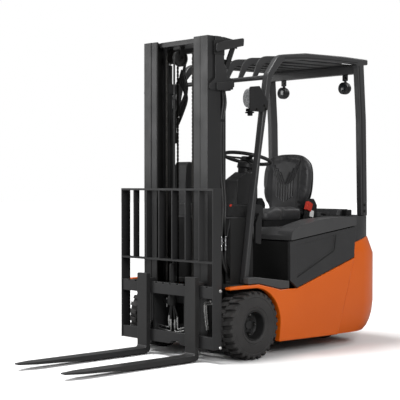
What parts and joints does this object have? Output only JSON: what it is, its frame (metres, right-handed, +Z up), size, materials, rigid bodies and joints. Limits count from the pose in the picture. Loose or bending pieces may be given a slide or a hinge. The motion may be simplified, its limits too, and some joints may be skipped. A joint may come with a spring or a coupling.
{
  "type": "three-wheel electric counterbalance forklift",
  "caption": "Compact three-wheel electric forklift with two-stage mast, forks, overhead guard, driver's seat and rear counterweight.",
  "frame": {"origin": "on the ground, at the middle of the overall box from the fork tips to the counterweight", "axes": "+Z up, forks point to -Y, driver's left is +X"},
  "size_m": [1.05, 2.834, 2.145],
  "materials": {
    "orange_paint": "semi-gloss orange enamel",
    "black_plastic": "fine moulded grain",
    "grey_paint": "satin charcoal paint",
    "fork_black": "satin black paint over forged steel",
    "tyre_rubber": "matt solid rubber",
    "rim_black": "satin dark grey paint",
    "frame_steel": "dull black chassis paint",
    "floor_mat": "ribbed rubber mat",
    "battery_case": "dull grey tray paint",
    "seat_vinyl": "grained black vinyl",
    "chrome_rod": "hard chrome",
    "chain_steel": "oiled steel",
    "lamp_black": "black housing"
  },
  "bodies": {
    "chassis": {"chassis_frame": "frame_steel", "drive_axle": "frame_steel", "floor_plate": "floor_mat", "counterweight": "orange_paint", "rear_cover": "black_plastic", "battery": "battery_case", "front_cowl": "black_plastic", "dash_console": "black_plastic", "left_side_panel": "orange_paint", "right_side_panel": "orange_paint", "left_battery_panel": "black_plastic", "right_battery_panel": "black_plastic", "left_sill": "black_plastic", "right_sill": "black_plastic", "guard_left_frame": "grey_paint", "guard_right_frame": "grey_paint", "roof_grille": "grey_paint", "work_light_left": "lamp_black", "work_light_right": "lamp_black", "rear_lamp_left": "lamp_black", "rear_lamp_right": "lamp_black"},
    "front_left_wheel": {"front_left_tyre": "tyre_rubber", "front_left_rim": "rim_black"},
    "front_right_wheel": {"front_right_tyre": "tyre_rubber", "front_right_rim": "rim_black"},
    "steer": {"steer_unit": "frame_steel"},
    "rear_wheels": {"rear_left_tyre": "tyre_rubber", "rear_left_rim": "rim_black", "rear_right_tyre": "tyre_rubber", "rear_right_rim": "rim_black"},
    "outer_mast": {"outer_channel_left": "grey_paint", "outer_channel_right": "grey_paint", "outer_top_beam": "grey_paint", "outer_mid_beam": "grey_paint", "outer_bottom_beam": "grey_paint", "lift_barrel_left": "grey_paint", "lift_barrel_right": "grey_paint"},
    "inner_mast": {"inner_channel_left": "grey_paint", "inner_channel_right": "grey_paint", "inner_crosshead": "grey_paint", "inner_bottom_beam": "grey_paint", "lift_rod_left": "chrome_rod", "lift_rod_right": "chrome_rod", "lift_chain_left": "chain_steel", "lift_chain_right": "chain_steel"},
    "carriage": {"fork_carriage": "grey_paint", "fork_left": "fork_black", "fork_right": "fork_black", "backrest_left_plate": "grey_paint", "backrest_right_plate": "grey_paint", "backrest_grille": "grey_paint"},
    "tilt_barrel_left": {"tilt_barrel_left": "grey_paint"},
    "tilt_barrel_right": {"tilt_barrel_right": "grey_paint"},
    "tilt_rod_left": {"tilt_rod_left": "chrome_rod"},
    "tilt_rod_right": {"tilt_rod_right": "chrome_rod"},
    "hood": {"hood": "black_plastic", "seat_base": "black_plastic", "seat_cushion": "seat_vinyl", "seat_back": "seat_vinyl"},
    "steering_wheel": {"steering_wheel": "black_plastic"}
  },
  "joints": [
    {"name": "front_left_spin", "type": "hinge", "parent": "chassis", "child": "front_left_wheel", "pos_m": [0.4375, -0.035, 0.2285], "axis": [1, 0, 0], "continuous": true},
    {"name": "front_right_spin", "type": "hinge", "parent": "chassis", "child": "front_right_wheel", "pos_m": [-0.4375, -0.035, 0.2285], "axis": [1, 0, 0], "continuous": true},
    {"name": "rear_steer", "type": "hinge", "parent": "chassis", "child": "steer", "pos_m": [0, 1.135, 0.43], "axis": [0, 0, 1], "range_deg": [-90, 90]},
    {"name": "rear_spin", "type": "hinge", "parent": "steer", "child": "rear_wheels", "pos_m": [0, 1.135, 0.1905], "axis": [1, 0, 0], "continuous": true},
    {"name": "mast_tilt", "type": "hinge", "parent": "chassis", "child": "outer_mast", "pos_m": [0, -0.035, 0.2285], "axis": [1, 0, 0], "range_deg": [-5, 7]},
    {"name": "mast_lift", "type": "slide", "parent": "outer_mast", "child": "inner_mast", "axis": [0, 0, 1], "range_m": [0, 1.6], "deforming": ["lift_chain_left", "lift_chain_right"]},
    {"name": "carriage_lift", "type": "slide", "parent": "inner_mast", "child": "carriage", "axis": [0, 0, 1], "range_m": [0, 1.6], "deforming": ["lift_chain_left", "lift_chain_right"]},
    {"name": "tilt_left_swing", "type": "hinge", "parent": "chassis", "child": "tilt_barrel_left", "pos_m": [0.195, 0.265, 0.4], "axis": [1, 0, 0], "range_deg": [-3, 3]},
    {"name": "tilt_right_swing", "type": "hinge", "parent": "chassis", "child": "tilt_barrel_right", "pos_m": [-0.195, 0.265, 0.4], "axis": [1, 0, 0], "range_deg": [-3, 3]},
    {"name": "tilt_left_stroke", "type": "slide", "parent": "tilt_barrel_left", "child": "tilt_rod_left", "axis": [0, -1, 0], "range_m": [-0.03, 0.03]},
    {"name": "tilt_right_stroke", "type": "slide", "parent": "tilt_barrel_right", "child": "tilt_rod_right", "axis": [0, -1, 0], "range_m": [-0.03, 0.03]},
    {"name": "hood_hinge", "type": "hinge", "parent": "chassis", "child": "hood", "pos_m": [0, 1.0235, 0.942], "axis": [-1, 0, 0], "range_deg": [0, 36]},
    {"name": "steering_spin", "type": "hinge", "parent": "chassis", "child": "steering_wheel", "pos_m": [0.15, 0.265, 1.345], "axis": [0, 0.2419, 0.9703], "continuous": true}
  ],
  "couplings": [
    {"joint": "carriage_lift", "follows": "mast_lift", "ratio": 1},
    {"joint": "tilt_left_swing", "follows": "mast_tilt", "ratio": 0.204},
    {"joint": "tilt_right_swing", "follows": "mast_tilt", "ratio": 0.204},
    {"joint": "tilt_left_stroke", "follows": "mast_tilt", "m_per_rad": 0.17},
    {"joint": "tilt_right_stroke", "follows": "mast_tilt", "m_per_rad": 0.17}
  ]
}
